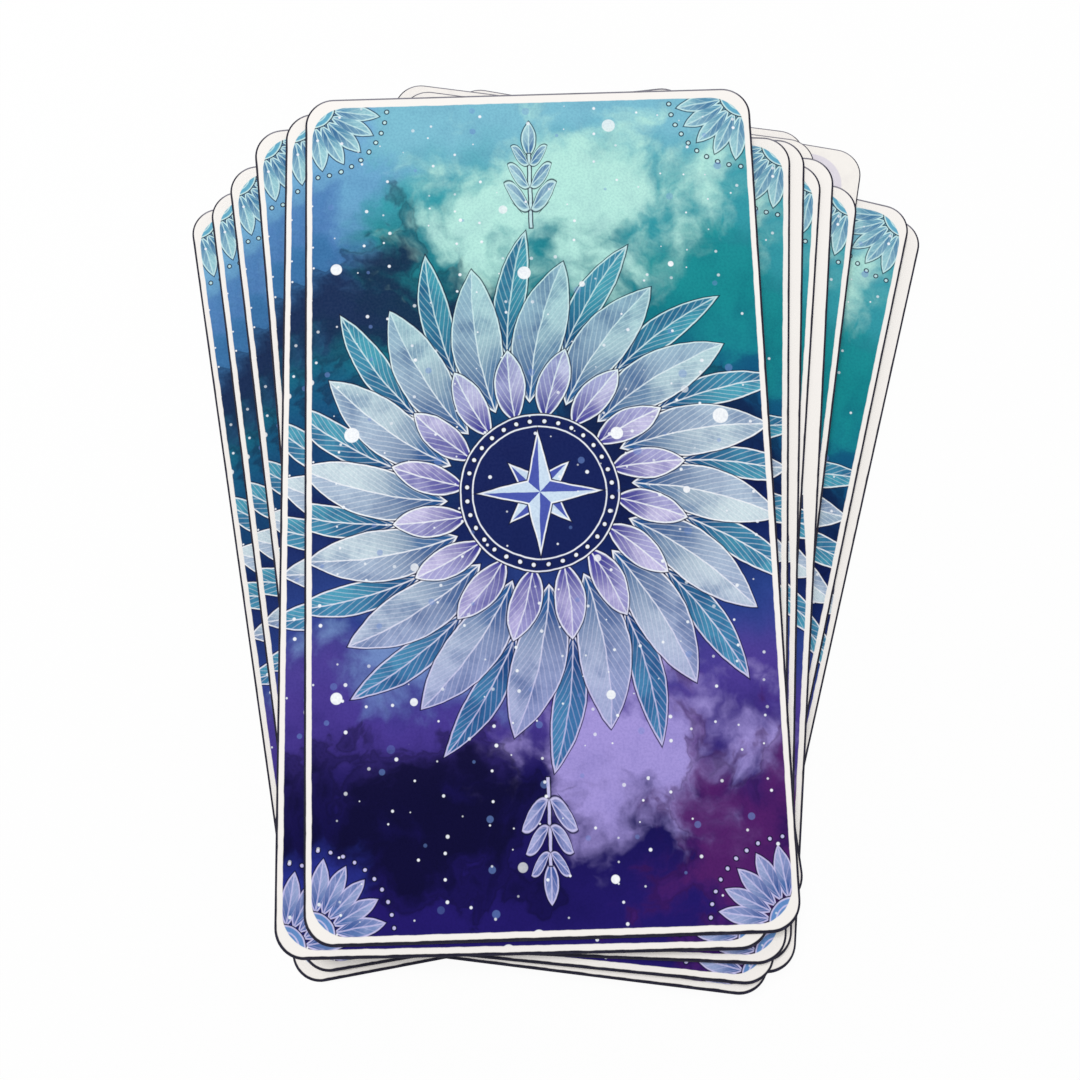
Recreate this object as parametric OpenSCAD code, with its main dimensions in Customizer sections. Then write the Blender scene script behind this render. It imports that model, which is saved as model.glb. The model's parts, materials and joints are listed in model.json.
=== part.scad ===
// A tarot deck of 22 loose cards, fanned by hand and laid on a table.
// Millimetres and degrees. The origin is the point that the fan opens about, on the
// underside of the lowest card. +Y runs along that card towards the open end of the
// fan, and +Z goes up through the stack.

/* [Card] */
// Width of one card
card_w = 66; // [55:0.5:80]
// Height of one card
card_h = 120; // [100:0.5:150]
// Thickness of the laminated card stock
card_t = 0.45; // [0.25:0.05:0.8]
// Radius of the die-cut corners
corner_r = 4.2; // [2:0.1:8]

/* [Stack] */
// Air left between neighbouring cards in a loose pile
air_gap = 0.15; // [0.05:0.05:0.4]
// Distance from a card's lower edge to the point that the fan opens about
pivot_inset = 10; // [4:0.5:25]

/* [Top card] */
// Turn to the left, in degrees
top_turn = 1.75; // [-45:0.25:45]
// Push along the card's length, towards the open end of the fan
top_push = 1.75; // [-10:0.25:10]
// Drift to the card's right
top_drift = 1.5; // [-10:0.25:10]

/* [Middle cards, most of them hidden, from the top down] */
// Turns to the left, in degrees
middle_turns = [1.75, 1.5, 0.75, -0.5, -6.75]; // [-45:0.25:45]
// Pushes along each card's length
middle_pushes = [1.5, 1.25, 1, 0, -4.5]; // [-10:0.25:10]
// Drifts to each card's right
middle_drifts = [1, 0.75, 0.5, 0.5, 0.25]; // [-10:0.25:10]

/* [Left cards, from the innermost out] */
// Turns to the left, in degrees
left_turns = [1.25, 6.75, 8.75, 9.25, 10.25]; // [-45:0.25:45]
// Pushes along each card's length
left_pushes = [-0.25, 1.5, 0.75, -1.25, -2.25]; // [-10:0.25:10]
// Drifts to each card's right
left_drifts = [-2.5, 2.5, 0.25, -3, -5]; // [-10:0.25:10]

/* [Right cards, from the innermost out] */
// Turns to the left, in degrees, so these turn to the right
right_turns = [-2.25, -3, -5.5, -5, -9, -14, -14.75]; // [-45:0.25:45]
// Pushes along each card's length
right_pushes = [-1.5, -1, -3, -1.75, -2.5, 0.75, 0]; // [-10:0.25:10]
// Drifts to each card's right
right_drifts = [1, 2, 0.25, 3.25, 0.5, 1, 2.25]; // [-10:0.25:10]

/* [Reversed cards, which lie with the plain side up, from the top down] */
// Turns to the left, in degrees, so these turn to the right
reversed_turns = [-8, -7.75, -10.25]; // [-45:0.25:45]
// Pushes along each card's length
reversed_pushes = [4.5, 6, 5.75]; // [-10:0.25:10]
// Drifts to each card's right
reversed_drifts = [-4.75, -5.75, -1.25]; // [-10:0.25:10]

/* [Hidden] */
// Smoothness of the corner arcs
$fn = 64;
// Height from one card to the next in the stack
pitch = card_t + air_gap;
// Distance from the fan's pivot to the centre of a card that isn't pushed
reach = card_h / 2 - pivot_inset;
// Printed side of a card
print_colour = "#3f6f9c";
// Plain side of a card
plain_colour = "#f1eff2";

// The stack in order, from the table up
NODES = [
    "base_card",
    "right_card_7",
    "left_card_5",
    "right_card_6",
    "left_card_4",
    "reversed_card_3",
    "reversed_card_2",
    "reversed_card_1",
    "left_card_3",
    "right_card_5",
    "middle_card_5",
    "middle_card_4",
    "right_card_4",
    "right_card_3",
    "right_card_2",
    "right_card_1",
    "middle_card_3",
    "left_card_2",
    "middle_card_2",
    "middle_card_1",
    "left_card_1",
    "top_card"
];

// Height of a named card's underside above the table
function seat_height(name) = search([name], NODES)[0] * pitch;

// One die-cut card, centred, lying on its underside
module card_blank() {
    linear_extrude(card_t) {
        square([card_w, card_h - 2 * corner_r], center = true);
        square([card_w - 2 * corner_r, card_h], center = true);
        for (side = [-1, 1], end = [-1, 1])
            translate([side * (card_w / 2 - corner_r), end * (card_h / 2 - corner_r)])
                circle(corner_r);
    }
}

// A card at its height in the stack, pushed and drifted, then turned about the pivot
module fanned_card(name, turn = 0, push = 0, drift = 0) {
    translate([0, 0, seat_height(name)])
        rotate(turn)
            translate([drift, reach + push, 0])
                card_blank();
}

// The cards of each group, by their place in its lists
module middle_card(place) {
    i = place - 1;
    color(print_colour)
        fanned_card(str("middle_card_", place), middle_turns[i], middle_pushes[i], middle_drifts[i]);
}

module left_card(place) {
    i = place - 1;
    color(print_colour)
        fanned_card(str("left_card_", place), left_turns[i], left_pushes[i], left_drifts[i]);
}

module right_card(place) {
    i = place - 1;
    color(print_colour)
        fanned_card(str("right_card_", place), right_turns[i], right_pushes[i], right_drifts[i]);
}

module reversed_card(place) {
    i = place - 1;
    color(plain_colour)
        fanned_card(str("reversed_card_", place), reversed_turns[i], reversed_pushes[i], reversed_drifts[i]);
}

module base_card() color(print_colour) fanned_card("base_card");
module top_card() color(print_colour) fanned_card("top_card", top_turn, top_push, top_drift);
module middle_card_1() middle_card(1);
module middle_card_2() middle_card(2);
module middle_card_3() middle_card(3);
module middle_card_4() middle_card(4);
module middle_card_5() middle_card(5);
module left_card_1() left_card(1);
module left_card_2() left_card(2);
module left_card_3() left_card(3);
module left_card_4() left_card(4);
module left_card_5() left_card(5);
module right_card_1() right_card(1);
module right_card_2() right_card(2);
module right_card_3() right_card(3);
module right_card_4() right_card(4);
module right_card_5() right_card(5);
module right_card_6() right_card(6);
module right_card_7() right_card(7);
module reversed_card_1() reversed_card(1);
module reversed_card_2() reversed_card(2);
module reversed_card_3() reversed_card(3);

base_card();
top_card();
middle_card_1();
middle_card_2();
middle_card_3();
middle_card_4();
middle_card_5();
left_card_1();
left_card_2();
left_card_3();
left_card_4();
left_card_5();
right_card_1();
right_card_2();
right_card_3();
right_card_4();
right_card_5();
right_card_6();
right_card_7();
reversed_card_1();
reversed_card_2();
reversed_card_3();
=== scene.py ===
"""A tarot deck of 22 loose cards, fanned by hand and laid on a white table top.

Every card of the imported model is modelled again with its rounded, painted edge. One
side takes a watercolour print inside a white border, the other is plain card stock.
"""

import json
import logging
import math
from dataclasses import dataclass
from enum import Enum

import bmesh
import bpy
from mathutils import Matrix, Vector


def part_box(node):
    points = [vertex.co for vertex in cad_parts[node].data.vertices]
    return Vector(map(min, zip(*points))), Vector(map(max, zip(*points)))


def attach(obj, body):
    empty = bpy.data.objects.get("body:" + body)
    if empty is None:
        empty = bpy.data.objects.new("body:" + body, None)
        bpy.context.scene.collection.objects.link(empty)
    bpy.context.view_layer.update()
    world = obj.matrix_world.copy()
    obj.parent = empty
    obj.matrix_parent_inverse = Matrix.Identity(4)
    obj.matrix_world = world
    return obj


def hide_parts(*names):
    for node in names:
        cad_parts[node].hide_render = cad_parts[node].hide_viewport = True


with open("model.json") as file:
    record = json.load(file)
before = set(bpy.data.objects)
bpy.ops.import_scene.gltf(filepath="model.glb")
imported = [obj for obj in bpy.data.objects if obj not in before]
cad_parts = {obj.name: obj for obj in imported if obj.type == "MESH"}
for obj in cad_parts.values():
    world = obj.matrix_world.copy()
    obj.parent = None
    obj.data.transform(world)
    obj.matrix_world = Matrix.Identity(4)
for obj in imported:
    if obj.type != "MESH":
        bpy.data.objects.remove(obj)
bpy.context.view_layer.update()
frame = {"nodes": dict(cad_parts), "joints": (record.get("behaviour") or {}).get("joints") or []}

LOG = logging.getLogger("deck")
MM = 0.001
# Print map: one unit is a millimetre from the middle of the card
PRINT_MAP = "PrintMillimetres"
# Bake map: both sides of the card next to one another
BAKE_MAP = "OFBake"
# Half the width of the soft edge that a brush or pen leaves, in millimetres
SOFT = 0.07
WHITE = (1.0, 1.0, 1.0, 1.0)
# Values between which nearly all of a cloud's noise lies
CLOUD_SPREAD = (0.3, 0.7)
# Depth of the tooth of paper
TOOTH_DEPTH = 0.02 * MM
# Heights closer than this are the same
HAIR = 0.01 * MM
# Faces whose normal goes up or down by more than this share are level
LEVEL = 0.999
# Near-black blue that is rolled over the cut edges of the stack
EDGE_PAINT = "#191829"

Socket = bpy.types.NodeSocket
Colour = tuple[float, float, float, float]
Range = tuple[float, float]
# A value, with the values that something fades in from and to
Fade = tuple[Socket, float, float]


def linear(hex_colour: str) -> Colour:
    """Turns an sRGB hex colour into the linear colour that a socket holds.

    Args:
        hex_colour: Colour as "#rrggbb".

    Returns:
        Linear red, green and blue, and a full alpha.
    """
    shares = [int(hex_colour[i : i + 2], 16) / 255 for i in (1, 3, 5)]
    red, green, blue = (s / 12.92 if s <= 0.04045 else ((s + 0.055) / 1.055) ** 2.4 for s in shares)
    return red, green, blue, 1.0


def empty_tree(holder: bpy.types.Material | bpy.types.World) -> bpy.types.NodeTree:
    """Gives the node tree of a new material or world, with nothing in it.

    Args:
        holder: The material or world.

    Returns:
        Its node tree.
    """
    holder.use_nodes = True
    holder.node_tree.nodes.clear()
    return holder.node_tree


def add(
    tree: bpy.types.NodeTree,
    kind: str,
    *values: Socket | float | tuple,
    named: dict[str | int, Socket | float | tuple] | None = None,
    output: int = 0,
    **settings: str | bool | float,
) -> Socket | None:
    """Adds one node with its settings, its values and its links.

    Args:
        tree: Node tree that the node joins.
        kind: Blender's name for the kind of shader node, without ShaderNode in front.
        values: What goes to the first inputs, in order.
        named: What goes to other inputs, by name or number.
        output: Number of the output to hand back.
        settings: The node's own properties.

    Returns:
        The chosen output, or None for a node without outputs.
    """
    node = tree.nodes.new(f"ShaderNode{kind}")
    for name, setting in settings.items():
        setattr(node, name, setting)
    for key, value in {**dict(enumerate(values)), **(named or {})}.items():
        if isinstance(value, Socket):
            tree.links.new(value, node.inputs[key])
        else:
            node.inputs[key].default_value = value
    return node.outputs[output] if node.outputs else None


class SideUp(Enum):
    """Which side of a card is to be seen from above."""

    PRINTED = "printed_card"
    PLAIN = "plain_card"


class Face(Enum):
    """The surfaces of a card, by the place of their material on it."""

    PRINT = 0
    EDGE = 1
    REVERSE = 2


@dataclass
class Shape:
    """A drawn shape, in millimetres.

    The distance to its outline is below zero inside it, and its place runs along it from
    its foot and across it to the left of its middle line.
    """

    distance: Socket
    along: Socket
    across: Socket


@dataclass(frozen=True)
class Leaf:
    """A ring of leaves: their count, size and colours.

    The first turn is in degrees from the +X axis. A leaf's foot and tip are measured from
    the ring's middle, in millimetres, and its body is how far its paint covers the wash.
    """

    count: int
    first_turn: float
    foot: float
    tip: float
    half_width: float
    foot_colour: str
    tip_colour: str
    body: float = 0.85


@dataclass(frozen=True)
class Sprig:
    """A laurel sprig along the middle line of the card.

    Its foot, where the first pair of leaves is, and its bud are measured from the middle of
    the card in millimetres, and the stem's stub goes on below them. The leaves lean from the
    stem by some degrees, and the smallest are this share of the first.
    """

    foot: float = 40.0
    pairs: int = 3
    pitch: float = 3.5
    lean: float = 42.0
    stem: float = 0.2
    stub: float = 1.0
    smallest: float = 0.55
    leaf: Leaf = Leaf(1, 0.0, 0.2, 5.6, 1.1, "#2f6fae", "#e3f0f6")
    bud: Leaf = Leaf(1, 0.0, 50.0, 55.5, 1.0, "#2f6fae", "#e3f0f6")


@dataclass(frozen=True)
class Star:
    """A four-pointed star: its first turn in degrees, and the reach of its points and notches."""

    first_turn: float
    reach: float
    notch: float


@dataclass(frozen=True)
class Hub:
    """A round hub: its radius and colour, the pale ring on it, and beads about its middle."""

    radius: float
    colour: str
    ring: Range
    beads: int
    bead_reach: float
    bead_size: float


@dataclass(frozen=True)
class Cloud:
    """Clouds such as wet pigment leaves: their size in millimetres, finer layers and seed."""

    size: float
    detail: float
    seed: float


@dataclass(frozen=True)
class Run:
    """How clouds move a line of wet paint or of an unsteady hand, by half the reach each way."""

    cloud: Cloud
    reach: float


@dataclass(frozen=True)
class Granulation:
    """Pigment or pulp that settles between two values of some clouds and darkens what is under it."""

    colour: str
    cloud: Cloud
    fade: Range
    strength: float


@dataclass(frozen=True)
class Wash:
    """A wash below a soft upper edge, whose height and run are millimetres on the card."""

    colour: str
    edge: float
    soft: float


@dataclass(frozen=True)
class Bloom:
    """Paint dropped into a wet wash, which spreads in a cloud.

    Its middle and its reach to the side and up are millimetres on the card. The tide is
    the colour of the line that it dries with along its edge, if it does.
    """

    colour: str
    middle: tuple[float, float]
    reach: tuple[float, float]
    seed: float
    strength: float = 1.0
    tide: str | None = None


@dataclass(frozen=True)
class Spatter:
    """Drops of body colour flicked off a brush.

    The spacing of their places and their least and most radius are in millimetres. Bare is
    the share of the places that stay without a drop.
    """

    colour: str
    spacing: float
    least: float
    most: float
    bare: float
    strength: float = 1.0


@dataclass
class Painter:
    """Lays colours over one another in a node tree, as a painter does on paper.

    The paint is what is painted so far, a plain ground at first, and the point is the place
    on the card in millimetres. Leaves are mottled with the mottle. Pulp is the share of each
    finer layer in clouds, and the stride is how far apart two seeds are.
    """

    tree: bpy.types.NodeTree
    paint: Socket | Colour
    point: Socket
    mottle: Socket | None = None
    pulp: float = 0.55
    stride: tuple[float, float] = (37.0, 19.0)

    def lay(self, colour: str, *fades: Fade, strength: float = 1.0, blend: str = "MIX") -> None:
        """Lays a colour over what is painted so far.

        Args:
            colour: The colour.
            fades: Where it goes; it lies fully only where all of them are.
            strength: The most of it that is laid anywhere.
            blend: Blender's name for how the two colours meet.
        """
        cover: Socket | None = None
        for value, start, end in fades:
            most = strength if cover is None else 1.0
            fade = add(self.tree, "MapRange", value, start, end, 0.0, most, interpolation_type="SMOOTHSTEP")
            cover = add(self.tree, "Math", cover, fade, operation="MULTIPLY") if cover else fade
        # A Mix node's colours are its inputs 6 and 7, and its mixed colour is output 2
        layers = {0: cover, 6: self.paint, 7: linear(colour)}
        self.paint = add(self.tree, "Mix", named=layers, output=2, data_type="RGBA", blend_type=blend)

    @staticmethod
    def inside(distance: Socket, grow: float = 0.0, soft: float = SOFT) -> Fade:
        """Gives the inside of a shape, grown by some millimetres."""
        return distance, grow + soft, grow - soft

    @staticmethod
    def between(value: Socket, low: float, high: float, soft: float = SOFT) -> tuple[Fade, Fade]:
        """Gives the band where a value is between two others."""
        return (value, low - soft, low + soft), (value, high + soft, high - soft)

    def cloud(self, point: Socket, cloud: Cloud, output: int = 0) -> Socket:
        """Makes clouds.

        Args:
            point: Place on the card, in millimetres.
            cloud: Size of the clouds and part of the noise.
            output: 0 for a value, 1 for a colour.

        Returns:
            The clouds, about 0.5 on average.
        """
        elsewhere = (self.stride[0] * cloud.seed, self.stride[1] * cloud.seed, 0.0)
        place = add(self.tree, "VectorMath", point, elsewhere, operation="ADD")
        named = {"Scale": 1 / cloud.size, "Detail": cloud.detail, "Roughness": self.pulp}
        return add(self.tree, "TexNoise", place, named=named, output=output, noise_dimensions="2D")

    def blown(self, run: Run) -> Socket:
        """Moves the place on the card about as wet paint runs.

        Args:
            run: How far it runs.

        Returns:
            The moved place.
        """
        cloud = self.cloud(self.point, run.cloud, output=1)
        reach = (run.reach, run.reach, 0.0)
        centred = add(self.tree, "VectorMath", cloud, (0.5, 0.5, 0.5), operation="SUBTRACT")
        scaled = add(self.tree, "VectorMath", centred, reach, operation="MULTIPLY")
        return add(self.tree, "VectorMath", self.point, scaled, operation="ADD")

    def settle(self, granulation: Granulation) -> Socket:
        """Lets pigment settle in clouds over what is painted so far.

        Args:
            granulation: The pigment and its clouds.

        Returns:
            The clouds.
        """
        cloud = self.cloud(self.point, granulation.cloud)
        fade = (cloud, *granulation.fade)
        self.lay(granulation.colour, fade, strength=granulation.strength, blend="MULTIPLY")
        return cloud

    def whirl(self, point: Socket, turn: float) -> Socket:
        """Turns a place about the middle, the more the further out, so that straight leaves bend.

        Args:
            point: Place on the card, in millimetres.
            turn: Degrees for each millimetre from the middle.

        Returns:
            The turned place.
        """
        reach = add(self.tree, "VectorMath", point, output=1, operation="LENGTH")
        angle = add(self.tree, "Math", reach, math.radians(turn), operation="MULTIPLY")
        return add(self.tree, "VectorRotate", point, named={"Angle": angle}, rotation_type="Z_AXIS")

    def spoke(self, point: Socket, count: int, first_turn: float) -> tuple[Socket, Socket, Socket]:
        """Turns a place so that the nearest of several spokes lies along +X.

        Args:
            point: Place, measured from the middle of the spokes.
            count: Number of spokes.
            first_turn: Turn of the first spoke, in degrees.

        Returns:
            The turned place folded onto one side of the spoke, and its x and y.
        """
        step, first = math.tau / count, math.radians(first_turn)
        parts = add(self.tree, "SeparateXYZ", point).node.outputs
        angle = add(self.tree, "Math", parts[1], parts[0], operation="ARCTAN2")
        centred = add(self.tree, "Math", angle, step / 2 - first, operation="ADD")
        nearest = add(self.tree, "Math", centred, step, operation="SNAP")
        turn = add(self.tree, "Math", nearest, first, operation="ADD")
        turned = add(
            self.tree, "VectorRotate", point, named={"Angle": turn}, rotation_type="Z_AXIS", invert=True
        )
        folded = add(self.tree, "VectorMath", turned, operation="ABSOLUTE")
        parts = add(self.tree, "SeparateXYZ", turned).node.outputs
        return folded, parts[0], parts[1]

    def blade(self, folded: Socket, foot: float, tip: float, half_width: float) -> Socket:
        """Gives the distance to a leaf blade between two arcs that meet at its foot and tip.

        Args:
            folded: Place along and across the blade, folded onto one side.
            foot: Where the blade starts, in millimetres along.
            tip: Where it ends.
            half_width: Half of its greatest width.

        Returns:
            Millimetres to the outline, below zero inside it.
        """
        half_length = (tip - foot) / 2
        radius = (half_length**2 + half_width**2) / (2 * half_width)
        middle = (foot + half_length, half_width - radius, 0.0)
        reach = add(self.tree, "VectorMath", folded, middle, output=1, operation="DISTANCE")
        return add(self.tree, "Math", reach, radius, operation="SUBTRACT")

    def panel(self, point: Socket, half_width: float, half_height: float, corner: float) -> Socket:
        """Gives the distance to a panel with round corners about the middle of the card.

        Args:
            point: Place on the card.
            half_width: Half the panel's width.
            half_height: Half its height.
            corner: Radius of its corners.

        Returns:
            Millimetres to its edge, below zero inside it.
        """
        straight = (half_width - corner, half_height - corner, 0.0)
        folded = add(self.tree, "VectorMath", point, operation="ABSOLUTE")
        past = add(self.tree, "VectorMath", folded, straight, operation="SUBTRACT")
        beyond = add(self.tree, "VectorMath", past, (0.0, 0.0, 0.0), operation="MAXIMUM")
        reach = add(self.tree, "VectorMath", beyond, output=1, operation="LENGTH")
        return add(self.tree, "Math", reach, corner, operation="SUBTRACT")


@dataclass(frozen=True)
class Finish:
    """A finish of the card.

    Attributes:
        name: Name of its material.
        mirror: How far it mirrors.
        ground: Colour that it is painted on.
        roughness: Its least and greatest roughness.
        relief: How far its tooth stands out, or 0 for a smooth finish.
    """

    name: str
    mirror: float
    ground: str
    roughness: Range
    relief: float = 0.0

    def dress(self, painter: Painter) -> tuple[Socket, Socket]:
        """Paints the finish, and gives the clouds of its sheen and of its tooth."""
        raise NotImplementedError

    def material(self) -> bpy.types.Material:
        """Builds the material, which reads the card's print map.

        Returns:
            The material.
        """
        made = bpy.data.materials.new(self.name)
        tree = empty_tree(made)
        point = add(tree, "UVMap", uv_map=PRINT_MAP)
        painter = Painter(tree, linear(self.ground), point)
        sheen, tooth = self.dress(painter)
        roughness = add(tree, "MapRange", sheen, *CLOUD_SPREAD, *self.roughness)
        shader = {"Base Color": painter.paint, "Roughness": roughness, "Specular IOR Level": self.mirror}
        if self.relief:
            shader["Normal"] = add(tree, "Bump", self.relief, TOOTH_DEPTH, named={"Height": tooth})
        surface = add(tree, "BsdfPrincipled", named=shader)
        add(tree, "OutputMaterial", surface)
        return made


@dataclass(frozen=True)
class WatercolourPrint(Finish):
    """Matt-laminated card printed from a watercolour: washes, blooms and pale leaf work.

    The matt film hardly mirrors, so the dark pigment stays deep. All sizes are
    millimetres on the card, measured from its middle.
    """

    name: str = "MattLaminatedWatercolourPrint"
    mirror: float = 0.05
    ground: str = "#9ccbe2"
    roughness: Range = (0.5, 0.62)
    relief: float = 0.12
    half_width: float = 33.0
    half_height: float = 60.0
    # White border at the sides and ends; the panel sits a little low
    side_border: float = 1.1
    end_border: float = 1.4
    drop: float = 0.1
    corner: float = 4.9
    border_colour: str = "#f5f1ed"
    border_run: Run = Run(Cloud(2.6, 3, 17.0), 0.2)
    # Painted rim round the border, the border's corners in it, and a painted shadow along the lower edge
    rim: float = 0.36
    rim_corner: float = 3.84
    painted_shadow_band: float = 0.16
    # Bare stock along the upper right side, and the heights that it starts and is whole at
    bare: float = 0.0
    bare_rise: Range = (-8.0, 13.0)
    # Washes, laid from the top down and run together while they are wet
    wet_run: Run = Run(Cloud(24.0, 4, 1.0), 24.0)
    washes: tuple[Wash, ...] = (
        Wash("#46a9b8", 50.0, 12.0),
        Wash("#127f8d", 38.0, 18.0),
        Wash("#0f5580", 20.0, 20.0),
        Wash("#0c1f58", 6.0, 18.0),
        Wash("#2f4a92", -12.0, 16.0),
        Wash("#5b4a9c", -22.0, 14.0),
        Wash("#1f185c", -34.0, 14.0),
        Wash("#2c2070", -52.0, 12.0),
    )
    # Blooms, the clouds that they spread in, and the tide lines that some dry with
    damp_run: Run = Run(Cloud(16.0, 4, 21.0), 10.0)
    bloom_size: float = 9.0
    bloom_detail: float = 4
    bloom_thinning: float = -0.45
    bloom_fade: Range = (0.0, 0.34)
    tide_band: Range = (0.1, 0.14)
    tide_soft: float = 0.03
    tide_strength: float = 0.45
    blooms: tuple[Bloom, ...] = (
        Bloom("#8fb4e4", (-31.0, 50.0), (12.0, 16.0), 2.0, 0.8),
        Bloom("#5577c0", (-31.0, 34.0), (9.0, 12.0), 6.0, 0.7),
        Bloom("#0a1a48", (-22.0, 26.0), (16.0, 15.0), 4.0, 0.9, "#06123a"),
        Bloom("#e2f9f0", (6.0, 42.0), (23.0, 15.0), 3.0, 1.0),
        Bloom("#1c9aa0", (26.0, 30.0), (10.0, 14.0), 8.0, 0.7),
        Bloom("#081340", (18.0, 6.0), (20.0, 12.0), 5.0, 0.8, "#050d30"),
        Bloom("#cfc4ee", (14.0, -37.0), (20.0, 12.0), 9.0, 0.95),
        Bloom("#8fb6dc", (-16.0, -22.0), (16.0, 8.0), 10.0, 0.7),
        Bloom("#0b0834", (-18.0, -44.0), (20.0, 12.0), 12.0, 0.95, "#080528"),
        Bloom("#6a2b70", (26.0, -48.0), (13.0, 17.0), 14.0, 0.9, "#41164e"),
        Bloom("#3d4fb0", (-33.0, -56.0), (9.0, 10.0), 15.0, 0.7),
    )
    # Pen lines, drawn with an unsteady hand, and their dark contours
    hand_run: Run = Run(Cloud(5.0, 3, 7.0), 0.4)
    line: float = 0.2
    line_colour: str = "#f8fbfe"
    contour: float = 0.16
    contour_colour: str = "#0c1238"
    contour_strength: float = 0.9
    # Blades: how far along the tip's colour is whole, their mottle and the shade of their fold
    pale_share: float = 0.7
    mottle_cloud: Cloud = Cloud(6.0, 4, 19.0)
    mottle_fade: Range = (0.42, 0.75)
    mottle_strength: float = 0.6
    shade_colour: str = "#5b78c4"
    shade_fade: Range = (-0.05, 0.05)
    shade_strength: float = 0.35
    # Veins: their slant, the distance between them, and the fold that they run out from
    vein_slant: float = -2.2
    vein_pitch: float = 1.6
    vein_crest: Range = (0.6, 0.98)
    vein_strength: float = 0.3
    fold_fade: Range = (0.15, 0.05)
    fold_strength: float = 0.8
    # Rosette; its leaves bend by some degrees for each millimetre from the middle
    bend: float = 0.55
    leaves: tuple[Leaf, ...] = (
        Leaf(16, 0.0, 20.0, 38.5, 2.3, "#0d4f86", "#5fb9cc", 0.8),
        Leaf(16, 11.25, 13.0, 34.0, 3.7, "#125c98", "#e2f3f5", 0.82),
        Leaf(16, 0.0, 10.5, 21.0, 2.2, "#3a369c", "#dcd6f4", 0.86),
    )
    hub: Hub = Hub(11.2, "#101f58", (9.3, 9.5), 32, 10.2, 0.28)
    stars: tuple[Star, ...] = (Star(45.0, 6.0, 2.4), Star(0.0, 8.8, 2.4))
    star_light: str = "#cfe2f3"
    star_shade: str = "#4a58ae"
    star_fold: Range = (-0.06, 0.06)
    sprig: Sprig = Sprig()
    # Quarter fans of leaves in the corners
    corner_leaves: Leaf = Leaf(20, 9.0, 3.0, 10.0, 1.2, "#2b7cb0", "#d6ecf1", 0.8)
    corner_hub: Hub = Hub(3.2, "#7fb9d8", (2.2, 2.4), 40, 11.0, 0.24)
    # Glazes: their colour, the heights that they come in from and to, and their strength
    glazes: tuple[tuple[str, float, float, float], ...] = (
        ("#84dcd6", 4.0, 34.0, 0.5),
        ("#9683dc", -4.0, -34.0, 0.55),
    )
    spatters: tuple[Spatter, ...] = (
        Spatter("#6f8fd0", 7.0, 0.2, 0.6, 0.55, 0.45),
        Spatter("#f4f8fc", 3.4, 0.08, 0.26, 0.5),
        Spatter("#f8fbfd", 13.0, 0.35, 1.1, 0.5),
    )
    # Each place has one random value that thins its drop, and one that gives it a drop or none
    drop_body: Range = (-0.5, 0.6)
    drop_step: float = 0.01
    # The tooth of the paper is drawn at 0.35 mm, a little coarser than real so that it shows
    tooth: Granulation = Granulation("#8d93b8", Cloud(0.35, 2, 11.0), (0.35, 0.7), 0.15)
    patches: Granulation = Granulation("#8490bc", Cloud(4.0, 4, 13.0), (0.4, 0.75), 0.14)

    def dress(self, painter: Painter) -> tuple[Socket, Socket]:
        """Paints the picture from the washes up to the spatter, and leaves its border white.

        Args:
            painter: Painter of this finish.

        Returns:
            The clouds of its sheen and of its tooth.
        """
        self.paint_washes(painter)
        drawn = painter.blown(self.hand_run)
        painter.mottle = painter.cloud(painter.point, self.mottle_cloud)
        self.draw_rosette(painter, drawn)
        self.draw_sprigs(painter, drawn)
        self.draw_corners(painter, drawn)
        up = add(painter.tree, "SeparateXYZ", painter.point).node.outputs[1]
        for colour, start, end, strength in self.glazes:
            painter.lay(colour, (up, start, end), strength=strength, blend="MULTIPLY")
        self.flick_drops(painter)
        tooth = painter.settle(self.tooth)
        painter.settle(self.patches)
        self.leave_border(painter)
        return tooth, tooth

    def paint_washes(self, painter: Painter) -> None:
        """Lays the washes, and drops blooms into them while they are wet.

        Args:
            painter: Painter of this print.
        """
        tree = painter.tree
        wet = painter.blown(self.wet_run)
        up = add(tree, "SeparateXYZ", wet).node.outputs[1]
        for wash in self.washes:
            painter.lay(wash.colour, (up, wash.edge + wash.soft / 2, wash.edge - wash.soft / 2))
        damp = painter.blown(self.damp_run)
        for bloom in self.blooms:
            off = add(tree, "VectorMath", damp, (*bloom.middle, 0.0), operation="SUBTRACT")
            scaled = add(tree, "VectorMath", off, (*bloom.reach, 1.0), operation="DIVIDE")
            away = add(tree, "VectorMath", scaled, output=1, operation="LENGTH")
            cloud = painter.cloud(damp, Cloud(self.bloom_size, self.bloom_detail, bloom.seed))
            # The cloud thins out away from where the paint was dropped
            body = add(tree, "Math", away, self.bloom_thinning, cloud, operation="MULTIPLY_ADD")
            painter.lay(bloom.colour, (body, *self.bloom_fade), strength=bloom.strength)
            if bloom.tide:
                tide = painter.between(body, *self.tide_band, self.tide_soft)
                painter.lay(bloom.tide, *tide, strength=self.tide_strength)

    def flick_drops(self, painter: Painter) -> None:
        """Flicks drops of body colour over the painting.

        Args:
            painter: Painter of this print.
        """
        tree = painter.tree
        for spatter in self.spatters:
            scale = {"Scale": 1 / spatter.spacing}
            cell = add(tree, "TexVoronoi", painter.point, named=scale, voronoi_dimensions="2D")
            away = add(tree, "Math", cell, spatter.spacing, operation="MULTIPLY")
            parts = add(tree, "SeparateXYZ", cell.node.outputs["Color"]).node.outputs
            radius = add(tree, "MapRange", parts[0], spatter.bare, 1.0, spatter.least, spatter.most)
            distance = add(tree, "Math", away, radius, operation="SUBTRACT")
            chosen = (parts[0], spatter.bare, spatter.bare + self.drop_step)
            body = (parts[1], *self.drop_body)
            painter.lay(spatter.colour, painter.inside(distance), chosen, body, strength=spatter.strength)

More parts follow.
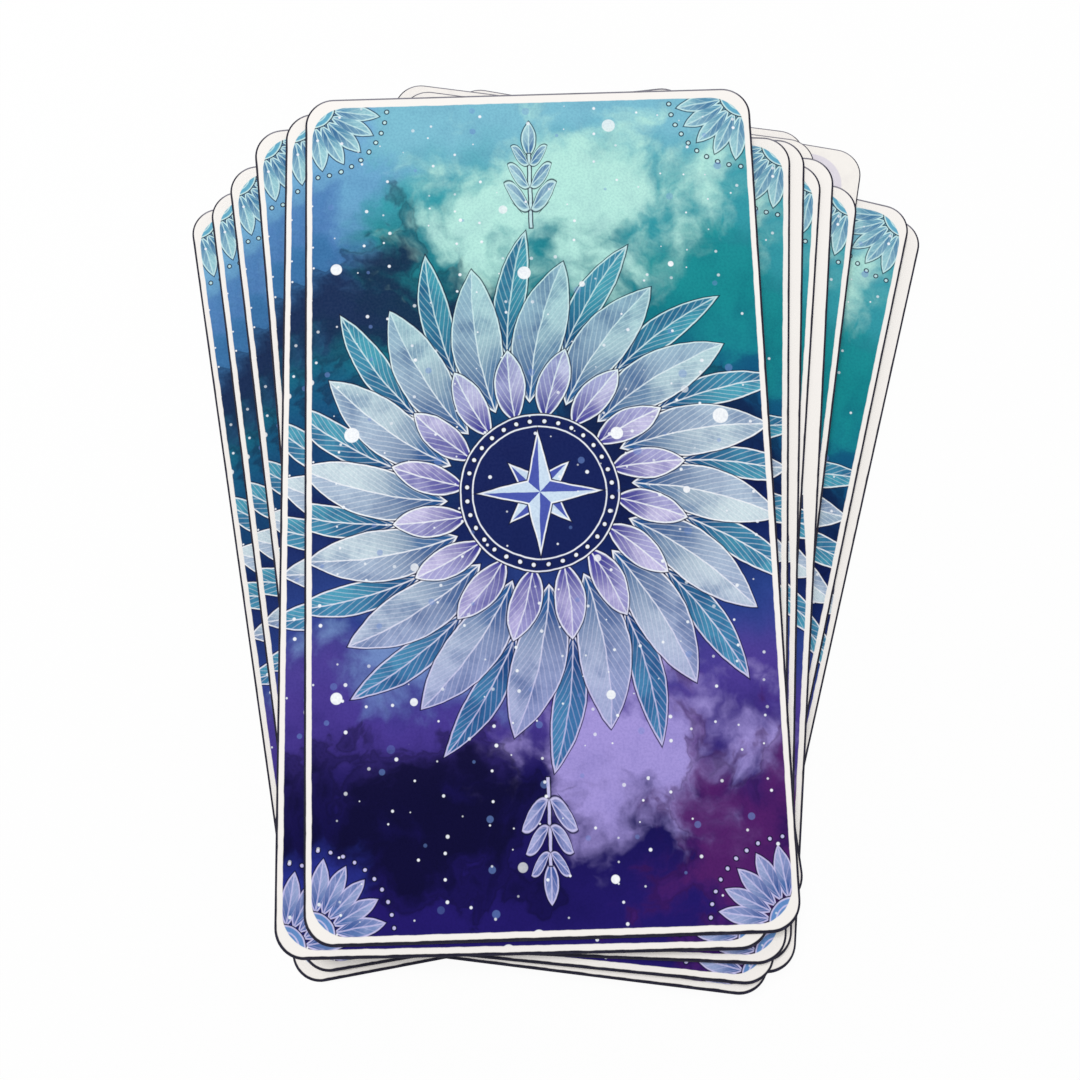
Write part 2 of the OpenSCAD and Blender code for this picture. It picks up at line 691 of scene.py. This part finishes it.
    def ink(self, painter: Painter, distance: Socket, grow: float = 0.0) -> None:
        """Inks a small form, grown by some millimetres, in the pale line colour with its dark contour."""
        painter.lay(self.contour_colour, painter.inside(distance, grow + self.contour))
        painter.lay(self.line_colour, painter.inside(distance, grow))

    def draw_leaf(self, painter: Painter, shape: Shape, leaf: Leaf) -> None:
        """Draws leaves: a dark contour, a pale line, a shaded blade and fine veins.

        Args:
            painter: Painter of this print.
            shape: Where the leaves are.
            leaf: Their size and colours.
        """
        tree = painter.tree
        blade = painter.inside(shape.distance, -self.line)
        outline = painter.between(shape.distance, 0.0, self.contour)
        painter.lay(self.contour_colour, *outline, strength=self.contour_strength)
        painter.lay(leaf.foot_colour, blade, strength=leaf.body)
        pale = leaf.foot + self.pale_share * (leaf.tip - leaf.foot)
        painter.lay(leaf.tip_colour, blade, (shape.along, leaf.foot, pale), strength=leaf.body)
        mottle = (painter.mottle, *self.mottle_fade)
        painter.lay(leaf.foot_colour, blade, mottle, strength=self.mottle_strength)
        # One half of each blade lies in the shade of its fold
        shade = (shape.across, *self.shade_fade)
        painter.lay(self.shade_colour, blade, shade, strength=self.shade_strength, blend="MULTIPLY")
        # Veins run out from the fold at a slant
        fold = add(tree, "Math", shape.across, operation="ABSOLUTE")
        slant = add(tree, "Math", fold, self.vein_slant, shape.along, operation="MULTIPLY_ADD")
        wave = add(tree, "Math", slant, math.tau / self.vein_pitch, operation="MULTIPLY")
        crest = add(tree, "Math", wave, operation="SINE")
        painter.lay(self.line_colour, blade, (crest, *self.vein_crest), strength=self.vein_strength)
        painter.lay(self.line_colour, blade, (fold, *self.fold_fade), strength=self.fold_strength)
        painter.lay(self.line_colour, *painter.between(shape.distance, -self.line, 0.0))

    def draw_ring(self, painter: Painter, point: Socket, leaf: Leaf) -> None:
        """Draws a ring of leaves.

        Args:
            painter: Painter of this print.
            point: Place, measured from the ring's middle.
            leaf: The leaves.
        """
        folded, along, across = painter.spoke(point, leaf.count, leaf.first_turn)
        distance = painter.blade(folded, leaf.foot, leaf.tip, leaf.half_width)
        self.draw_leaf(painter, Shape(distance, along, across), leaf)

    def draw_hub(self, painter: Painter, point: Socket, hub: Hub) -> None:
        """Draws a hub with its beads and its ring.

        Args:
            painter: Painter of this print.
            point: Place, measured from the hub's middle.
            hub: The hub.
        """
        reach = add(painter.tree, "VectorMath", point, output=1, operation="LENGTH")
        self.ink(painter, reach, hub.radius)
        painter.lay(hub.colour, painter.inside(reach, hub.radius - self.line))
        folded, _, _ = painter.spoke(point, hub.beads, 180 / hub.beads)
        foot, tip = hub.bead_reach - hub.bead_size, hub.bead_reach + hub.bead_size
        self.ink(painter, painter.blade(folded, foot, tip, hub.bead_size))
        painter.lay(self.line_colour, *painter.between(reach, *hub.ring))

    def draw_star(self, painter: Painter, point: Socket, star: Star) -> None:
        """Draws a four-pointed star with one half of each point in shade.

        Args:
            painter: Painter of this print.
            point: Place, measured from the star's middle.
            star: The star.
        """
        tree = painter.tree
        folded, _, across = painter.spoke(point, 4, star.first_turn)
        corner = star.notch * math.sqrt(0.5)
        normal = Vector((corner, star.reach - corner, 0.0)).normalized()
        height = add(tree, "VectorMath", folded, tuple(normal), output=1, operation="DOT_PRODUCT")
        distance = add(tree, "Math", height, star.reach * normal.x, operation="SUBTRACT")
        self.ink(painter, distance)
        facet = painter.inside(distance, -self.line)
        painter.lay(self.star_light, facet)
        painter.lay(self.star_shade, facet, (across, *self.star_fold))

    def draw_rosette(self, painter: Painter, point: Socket) -> None:
        """Draws the compass rosette in the middle of the card.

        Args:
            painter: Painter of this print.
            point: Place on the card.
        """
        bent = painter.whirl(point, self.bend)
        for leaf in self.leaves:
            self.draw_ring(painter, bent, leaf)
        self.draw_hub(painter, point, self.hub)
        for star in self.stars:
            self.draw_star(painter, point, star)

    def draw_sprigs(self, painter: Painter, point: Socket) -> None:
        """Draws a laurel sprig that grows up from the rosette, and its mirror below.

        Args:
            painter: Painter of this print.
            point: Place on the card.
        """
        tree, sprig, leaf, bud = painter.tree, self.sprig, self.sprig.leaf, self.sprig.bud
        foot, pitch, lean = sprig.foot, sprig.pitch, math.radians(sprig.lean)
        tip = foot + sprig.pairs * pitch
        parts = add(tree, "SeparateXYZ", point).node.outputs
        side = add(tree, "Math", parts[0], operation="ABSOLUTE")
        up = add(tree, "Math", parts[1], operation="ABSOLUTE")
        # A bud ends the stem
        folded = add(tree, "CombineXYZ", up, side)
        blade = painter.blade(folded, bud.foot, bud.tip, bud.half_width)
        self.draw_leaf(painter, Shape(blade, up, parts[0]), bud)
        below = add(tree, "Math", foot - sprig.stub, up, operation="SUBTRACT")
        above = add(tree, "Math", up, tip, operation="SUBTRACT")
        ends = add(tree, "Math", below, above, operation="MAXIMUM")
        edge = add(tree, "Math", side, sprig.stem, operation="SUBTRACT")
        self.ink(painter, add(tree, "Math", edge, ends, operation="MAXIMUM"))
        # Each leaf has a slanting strip of its own beside the stem
        slant = add(tree, "Math", side, -1 / math.tan(lean), up, operation="MULTIPLY_ADD")
        strip = add(tree, "Math", slant, foot, operation="SUBTRACT")
        place = add(tree, "Math", strip, pitch, operation="FLOORED_MODULO")
        off = add(tree, "Math", place, pitch / 2, operation="SUBTRACT")
        across = add(tree, "Math", off, math.sin(lean), operation="MULTIPLY")
        along = add(tree, "Math", side, 1 / math.sin(lean), operation="MULTIPLY")
        # The leaves get smaller towards the tip
        number = add(tree, "Math", strip, pitch, operation="SNAP")
        size = add(tree, "MapRange", number, 0.0, tip - foot, 1.0, sprig.smallest)
        pair = add(tree, "CombineXYZ", along, across)
        inverse = add(tree, "Math", 1.0, size, operation="DIVIDE")
        scaled = add(tree, "VectorMath", pair, named={"Scale": inverse}, operation="SCALE")
        folded = add(tree, "VectorMath", scaled, operation="ABSOLUTE")
        blade = painter.blade(folded, leaf.foot, leaf.tip, leaf.half_width)
        below = add(tree, "Math", strip, -1.0, operation="MULTIPLY")
        above = add(tree, "Math", strip, tip - foot, operation="SUBTRACT")
        ends = add(tree, "Math", below, above, operation="MAXIMUM")
        distance = add(tree, "Math", blade, ends, operation="MAXIMUM")
        parts = add(tree, "SeparateXYZ", scaled).node.outputs
        self.draw_leaf(painter, Shape(distance, parts[0], parts[1]), leaf)

    def draw_corners(self, painter: Painter, point: Socket) -> None:
        """Draws a quarter fan of leaves in each corner of the print.

        Args:
            painter: Painter of this print.
            point: Place on the card.
        """
        tree = painter.tree
        inner = (self.half_width - self.side_border, self.half_height - self.end_border, 0.0)
        folded = add(tree, "VectorMath", point, operation="ABSOLUTE")
        corner = add(tree, "VectorMath", inner, folded, operation="SUBTRACT")
        self.draw_ring(painter, corner, self.corner_leaves)
        self.draw_hub(painter, corner, self.corner_hub)

    def leave_border(self, painter: Painter) -> None:
        """Leaves the white border round the painting, and paints a shadow along its lower edge in edge
        paint.

        Args:
            painter: Painter of this print.
        """
        tree = painter.tree
        wavy = painter.blown(self.border_run)
        placed = add(tree, "VectorMath", wavy, (0.0, self.drop, 0.0), operation="ADD")
        if self.bare:
            up = add(tree, "SeparateXYZ", painter.point).node.outputs[1]
            rise = (*self.bare_rise, 0.0, self.bare)
            bare = add(tree, "MapRange", up, *rise, interpolation_type="SMOOTHSTEP")
            aside = add(tree, "CombineXYZ", bare)
            placed = add(tree, "VectorMath", placed, aside, operation="ADD")
        printed = (self.half_width - self.side_border, self.half_height - self.end_border)
        edge = painter.panel(placed, *printed, self.corner)
        painter.lay(self.border_colour, (edge, -SOFT, SOFT))
        # Painted shadow: a band of edge paint along the lower edge, for the shade that the card casts on
        # the one below
        shadow_band_place = add(tree, "VectorMath", wavy, (0.0, self.painted_shadow_band, 0.0), operation="SUBTRACT")
        rimmed = (self.half_width - self.rim, self.half_height - self.rim)
        painted_shadow_band = painter.panel(shadow_band_place, *rimmed, self.rim_corner)
        painter.lay(EDGE_PAINT, (painted_shadow_band, -SOFT, SOFT))


@dataclass(frozen=True)
class PlainStock(Finish):
    """Uncoated card stock: warm white, faintly mottled, with a pale tinted panel."""

    name: str = "UncoatedCardStock"
    mirror: float = 0.1
    ground: str = "#f5f1ec"
    roughness: Range = (0.62, 0.75)
    relief: float = 0.15
    panel_half_width: float = 30.2
    panel_half_height: float = 58.5
    corner: float = 5.0
    soft: float = 0.12
    tint: str = "#e0dbe4"
    # Fibres of the pulp make it cloudy; 2.5 mm clouds show from a step away
    fibre: Granulation = Granulation("#d9d4dc", Cloud(2.5, 5, 2.0), (0.4, 0.9), 0.2)
    tooth: Cloud = Cloud(0.35, 2, 4.0)

    def dress(self, painter: Painter) -> tuple[Socket, Socket]:
        """Paints the pulp and the panel that is printed on it in a pale tint.

        Args:
            painter: Painter of this finish.

        Returns:
            The clouds of its sheen and of its tooth.
        """
        edge = painter.panel(painter.point, self.panel_half_width, self.panel_half_height, self.corner)
        painter.lay(self.tint, painter.inside(edge, soft=self.soft))
        return painter.settle(self.fibre), painter.cloud(painter.point, self.tooth)


@dataclass(frozen=True)
class PaintedEdge(Finish):
    """Edge paint rolled over the cut stack: near-black blue, rubbed grey in patches, and paler along the
    top edge with painted light.
    """

    name: str = "RolledEdgePaint"
    mirror: float = 0.15
    ground: str = EDGE_PAINT
    roughness: Range = (0.5, 0.7)
    rub: Cloud = Cloud(3.0, 4, 6.0)
    rubbed: str = "#3b3a50"
    rubbed_fade: Range = (0.5, 0.75)
    rubbed_strength: float = 0.6
    # Painted light: a paler grey along the top edge, where the lamp falls on it
    painted_top_light: str = "#8d8b96"
    painted_top_light_fade: Range = (0.1, 0.5)
    painted_top_light_strength: float = 0.75
    # Heights on the card between which the painted light along the top edge comes in
    painted_top_light_rise: Range = (58.3, 59.6)

    def dress(self, painter: Painter) -> tuple[Socket, Socket]:
        """Paints the edge, rubs it, and paints light along its top edge.

        Args:
            painter: Painter of this finish.

        Returns:
            The clouds of its sheen and of its tooth.
        """
        rub = painter.cloud(painter.point, self.rub)
        painter.lay(self.rubbed, (rub, *self.rubbed_fade), strength=self.rubbed_strength)
        # Painted light: the top edge is laid paler in the rubbed patches, as if lit by the lamp above
        up = add(painter.tree, "SeparateXYZ", painter.point).node.outputs[1]
        top_light_cover = (up, *self.painted_top_light_rise), (rub, *self.painted_top_light_fade)
        painter.lay(self.painted_top_light, *top_light_cover, strength=self.painted_top_light_strength)
        return rub, rub


@dataclass
class Card:
    """One card of the deck: its place in the fan and its print.

    Attributes:
        name: Name of the card's CAD node and body.
        centre: Middle of its underside, in metres.
        turn: Turn to the left, in radians.
        side_up: Side that is to be seen from above.
    """

    name: str
    centre: Vector
    turn: float
    side_up: SideUp

    def build(self, blank: bpy.types.Object, printed: bpy.types.Material) -> bpy.types.Object:
        """Copies the blank, lays it in its place in the fan and ties it to its body.

        Args:
            blank: The modelled card, lying on its plain side at the origin.
            printed: Material of its print.

        Returns:
            The finished card.
        """
        bpy.ops.object.select_all(action="DESELECT")
        blank.select_set(True)
        bpy.context.view_layer.objects.active = blank
        bpy.ops.object.duplicate()
        piece = bpy.context.active_object
        piece.name = f"{self.name}_laminated"
        piece.data.materials[Face.PRINT.value] = printed
        if self.side_up is SideUp.PLAIN:
            piece.rotation_euler = (0.0, math.pi, 0.0)
            piece.location = (0.0, 0.0, blank.dimensions.z)
            bpy.ops.object.transform_apply(location=True, rotation=True, scale=False)
        piece.rotation_euler = (0.0, 0.0, self.turn)
        piece.location = self.centre
        bpy.ops.object.transform_apply(location=True, rotation=True, scale=False)
        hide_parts(self.name)
        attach(piece, self.name)
        return piece


@dataclass
class Deck:
    """The whole fanned deck, card by card from the table up.

    Attributes:
        corner_radius: Radius of the die-cut corners.
        corner_segments: Straight pieces in one of them.
        top_rim: Radius of the rounded rim round the printed side.
        creep: How far the edge paint creeps onto both sides.
        under_rim: Radius of the rounded rim round the plain side.
        rim_segments: Straight pieces in a rim's rounding.
        smooth_angle: Steepest turn that is shaded smooth, in degrees.
        bake_margin: Room round each side in the bake map, as a share of the map.
        bake_middles: Where the middles of the printed and the plain side are across the bake map.
        bare_cards: Cards whose print leaves bare stock along the upper right side.
        bare_stock: Width of that bare stock, in millimetres.
    """

    corner_radius: float = 4.2 * MM
    corner_segments: int = 12
    top_rim: float = 0.26 * MM
    creep: float = 0.1 * MM
    under_rim: float = 0.12 * MM
    rim_segments: int = 3
    smooth_angle: float = 10.0
    bake_margin: float = 0.012
    bake_middles: tuple[float, float] = (0.25, 0.75)
    bare_cards: tuple[str, ...] = ("right_card_2", "right_card_4", "right_card_7")
    bare_stock: float = 1.5

    def __post_init__(self) -> None:
        """Takes a card's size from the base card, which lies square in the frame."""
        low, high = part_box("base_card")
        self.width, self.height, self.thickness = high - low

    def turn_of(self, name: str) -> float:
        """Reads how far a card is turned from the joint that moves it.

        A hinge closes to square with the base card, so its lower limit is the turn. The
        slide of the top card runs along that card's own length.

        Args:
            name: Name of the card's body.

        Returns:
            Turn to the left, in radians.
        """
        joint = next((j for j in frame["joints"] if j["child"] == name), None)
        if joint is None:
            return 0.0
        if joint["type"] == "slide":
            return math.atan2(-joint["axis"][0], joint["axis"][1])
        return -math.radians(joint["range_deg"][0]) * joint["axis"][2]

    def cards(self) -> list[Card]:
        """Lists the cards from the table up, placed as the frame has them.

        Returns:
            One card for each CAD node.
        """
        listed = []
        for name in frame["nodes"]:
            low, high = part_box(name)
            middle = (low + high) / 2
            side_up = SideUp.PLAIN if name.startswith("reversed") else SideUp.PRINTED
            centre = Vector((middle.x, middle.y, low.z))
            listed.append(Card(name, centre, self.turn_of(name), side_up))
        return sorted(listed, key=lambda card: card.centre.z)

    def model_blank(self, printed: bpy.types.Material) -> bpy.types.Object:
        """Models one card at the origin, lying on its plain side.

        Args:
            printed: Material of the printed side.

        Returns:
            The card with its maps and materials.
        """
        bpy.ops.object.select_all(action="DESELECT")
        bpy.ops.mesh.primitive_plane_add(size=1.0)
        blank = bpy.context.active_object
        bpy.ops.object.mode_set(mode="EDIT")
        bpy.ops.mesh.select_mode(type="EDGE")
        bpy.ops.transform.resize(value=(self.width, self.height, 1.0))
        bpy.ops.mesh.bevel(offset=self.corner_radius, segments=self.corner_segments, affect="VERTICES")
        bpy.ops.mesh.extrude_region_move(TRANSFORM_OT_translate={"value": (0.0, 0.0, self.thickness)})
        bpy.ops.mesh.select_all(action="SELECT")
        bpy.ops.mesh.normals_make_consistent(inside=False)
        self.round_rim(blank.data, self.thickness, self.top_rim)
        self.round_rim(blank.data, 0.0, self.under_rim)
        for material in (printed, PaintedEdge().material(), PlainStock().material()):
            blank.data.materials.append(material)
        self.paint_faces(blank.data)
        bpy.ops.object.mode_set(mode="OBJECT")
        bpy.ops.object.shade_smooth_by_angle(angle=math.radians(self.smooth_angle))
        self.map_sides(blank.data)
        return blank

    def paint_faces(self, mesh: bpy.types.Mesh) -> None:
        """Gives the two sides and the edge their materials, with the paint's creep inset in the sides.

        Args:
            mesh: The card, in edit mode.
        """
        bpy.ops.mesh.select_mode(type="FACE")
        shell = bmesh.from_edit_mesh(mesh)
        for face in shell.faces:
            face.select_set(abs(face.normal.z) > LEVEL)
            face.material_index = Face.EDGE.value
        bmesh.update_edit_mesh(mesh)
        bpy.ops.mesh.inset(thickness=self.creep, use_individual=True)
        shell = bmesh.from_edit_mesh(mesh)
        for face in shell.faces:
            if face.select:
                face.material_index = (Face.PRINT if face.normal.z > 0 else Face.REVERSE).value
        bmesh.update_edit_mesh(mesh)

    def round_rim(self, mesh: bpy.types.Mesh, height: float, radius: float) -> None:
        """Rounds the edge that runs round the card at a height.

        Args:
            mesh: The card, in edit mode.
            height: Height of the edge.
            radius: Radius of the rounding.
        """
        bpy.ops.mesh.select_all(action="DESELECT")
        shell = bmesh.from_edit_mesh(mesh)
        for edge in shell.edges:
            if all(abs(v.co.z - height) < HAIR for v in edge.verts):
                edge.select_set(True)
        bmesh.update_edit_mesh(mesh)
        bpy.ops.mesh.bevel(offset=radius, segments=self.rim_segments, affect="EDGES")

    def map_sides(self, mesh: bpy.types.Mesh) -> None:
        """Writes the print map in millimetres, and the bake map with the sides apart.

        The rim goes round its own side in the bake map, spread out by its depth.

        Args:
            mesh: The finished card.
        """
        printed = mesh.uv_layers.new(name=PRINT_MAP)
        baked = mesh.uv_layers.new(name=BAKE_MAP)
        scale = (0.5 - 2 * self.bake_margin) / self.width
        for face in mesh.polygons:
            upper = face.center.z > self.under_rim + HAIR
            for loop in face.loop_indices:
                vertex = mesh.vertices[mesh.loops[loop].vertex_index].co
                printed.data[loop].uv = (vertex.x / MM, vertex.y / MM)
                depth = self.thickness - vertex.z if upper else vertex.z
                out = Vector((vertex.x / self.width, vertex.y / self.height)).normalized() * depth
                x, y = vertex.x + out.x, vertex.y + out.y
                across = self.bake_middles[0] + x * scale if upper else self.bake_middles[1] - x * scale
                baked.data[loop].uv = (across, 0.5 + y * scale)
        mesh.uv_layers.active = printed

    def build(self) -> list[bpy.types.Object]:
        """Builds every card of the deck.

        Returns:
            The cards, from the table up.
        """
        whole = WatercolourPrint().material()
        bare_name = f"{WatercolourPrint.name}BareEdge"
        bared = WatercolourPrint(name=bare_name, bare=self.bare_stock).material()
        blank = self.model_blank(whole)
        pieces = []
        for card in self.cards():
            pieces.append(card.build(blank, bared if card.name in self.bare_cards else whole))
            side, turn = card.side_up.name, math.degrees(card.turn)
            LOG.info("%s: %s side up, turned %.2f degrees", card.name, side, turn)
        bpy.data.objects.remove(blank)
        return pieces


@dataclass
class Studio:
    """White table, soft lamps and the camera of the photograph.

    Attributes:
        floor_size: Side of the square table top.
        floor_colour: Its colour.
        floor_glow: Share of plain white that the camera sees of it.
        floor_gap: Air between it and the lowest card.
        sky_light: Share of the light that comes evenly from all round.
        key_light: Share of the light that comes from the key lamp.
        key_from: Direction in which that lamp hangs over the deck.
        key_distance: Its distance.
        key_size: Its side.
        elevation: Height of the camera over the horizon, in degrees.
        distance: Distance from the camera to the point it looks at.
        look_up_card: Distance of that point from the fan's pivot along the base card.
        focal_pixels: Focal length in pixels of the photograph.
        photo_pixels: Side of the square photograph in pixels.
        sensor: Width of the camera's sensor, in millimetres.
        nearest: Nearest that the camera sees.
    """

    floor_size: float = 4.0
    floor_colour: str = "#f4f4f4"
    floor_glow: float = 0.92
    floor_gap: float = 0.02 * MM
    sky_light: float = 0.42
    key_light: float = 0.62
    key_from: tuple[float, float, float] = (-0.22, 0.37, 0.9)
    key_distance: float = 1.4
    key_size: float = 0.4
    elevation: float = 83.6
    distance: float = 111.4 * MM
    look_up_card: float = 45 * MM
    focal_pixels: float = 800.0
    photo_pixels: float = 1080.0
    sensor: float = 36.0
    nearest: float = 1 * MM

    def seen_rays(self, tree: bpy.types.NodeTree) -> Socket:
        """Gives 1 for rays that show the background, by sight, mirror or glass.

        Args:
            tree: Node tree of the floor or the world.

        Returns:
            1 for those rays, 0 for rays that only light the deck.
        """
        rays = add(tree, "LightPath").node.outputs
        seen = add(tree, "Math", rays["Is Camera Ray"], rays["Is Glossy Ray"], operation="MAXIMUM")
        return add(tree, "Math", seen, rays["Is Transmission Ray"], operation="MAXIMUM")

    def lay_floor(self) -> None:
        """Lays the table top just under the lowest card."""
        bpy.ops.object.select_all(action="DESELECT")
        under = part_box("base_card")[0].z - self.floor_gap
        bpy.ops.mesh.primitive_plane_add(size=self.floor_size, location=(0.0, 0.0, under))
        floor = bpy.context.active_object
        floor.name = "table_top"
        made = bpy.data.materials.new("WhiteTableTop")
        tree = empty_tree(made)
        matt = add(tree, "BsdfDiffuse", linear(self.floor_colour))
        white = add(tree, "Emission", WHITE, 1.0)
        share = add(tree, "Math", self.seen_rays(tree), self.floor_glow, operation="MULTIPLY")
        surface = add(tree, "MixShader", share, matt, white)
        add(tree, "OutputMaterial", surface)
        floor.data.materials.append(made)

    def light(self) -> None:
        """Lights the deck evenly from all round, and from a large lamp at the upper left."""
        world = bpy.data.worlds.new("studio")
        bpy.context.scene.world = world
        tree = empty_tree(world)
        strength = add(tree, "MapRange", self.seen_rays(tree), 0.0, 1.0, self.sky_light, 1.0)
        sky = add(tree, "Background", WHITE, strength)
        add(tree, "OutputWorld", sky)
        toward = Vector(self.key_from).normalized()
        lamp = bpy.data.lights.new("key", "AREA")
        lamp.size = self.key_size
        # A matt white card that lies flat under this lamp alone shows the key's share of white
        lamp.energy = self.key_light * math.pi**2 * self.key_distance**2 / toward.z
        key = bpy.data.objects.new("key", lamp)
        key.location = self.target() + toward * self.key_distance
        key.rotation_euler = (-toward).to_track_quat("-Z", "Y").to_euler()
        bpy.context.scene.collection.objects.link(key)

    def target(self) -> Vector:
        """Gives the point that the camera looks at, level with the top card."""
        return Vector((0.0, self.look_up_card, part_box("top_card")[1].z))

    def set_camera(self) -> None:
        """Sets up the camera where the photograph was taken from."""
        lens = bpy.data.cameras.new("photo")
        lens.sensor_width = self.sensor
        lens.lens = self.sensor * self.focal_pixels / self.photo_pixels
        lens.clip_start = self.nearest
        camera = bpy.data.objects.new("photo", lens)
        rise = math.radians(self.elevation)
        back = Vector((0.0, -math.cos(rise), math.sin(rise)))
        camera.location = self.target() + back * self.distance
        camera.rotation_euler = (-back).to_track_quat("-Z", "Y").to_euler()
        bpy.context.scene.collection.objects.link(camera)
        bpy.context.scene.camera = camera
        bpy.context.scene.view_settings.view_transform = "Standard"


def main() -> None:
    """Builds the deck and its studio, and logs the cards as they are built."""
    logging.basicConfig(level=logging.INFO, format="%(message)s")
    pieces = Deck().build()
    LOG.info("%d cards built", len(pieces))
    studio = Studio()
    studio.lay_floor()
    studio.light()
    studio.set_camera()


if __name__ == "__main__":
    main()
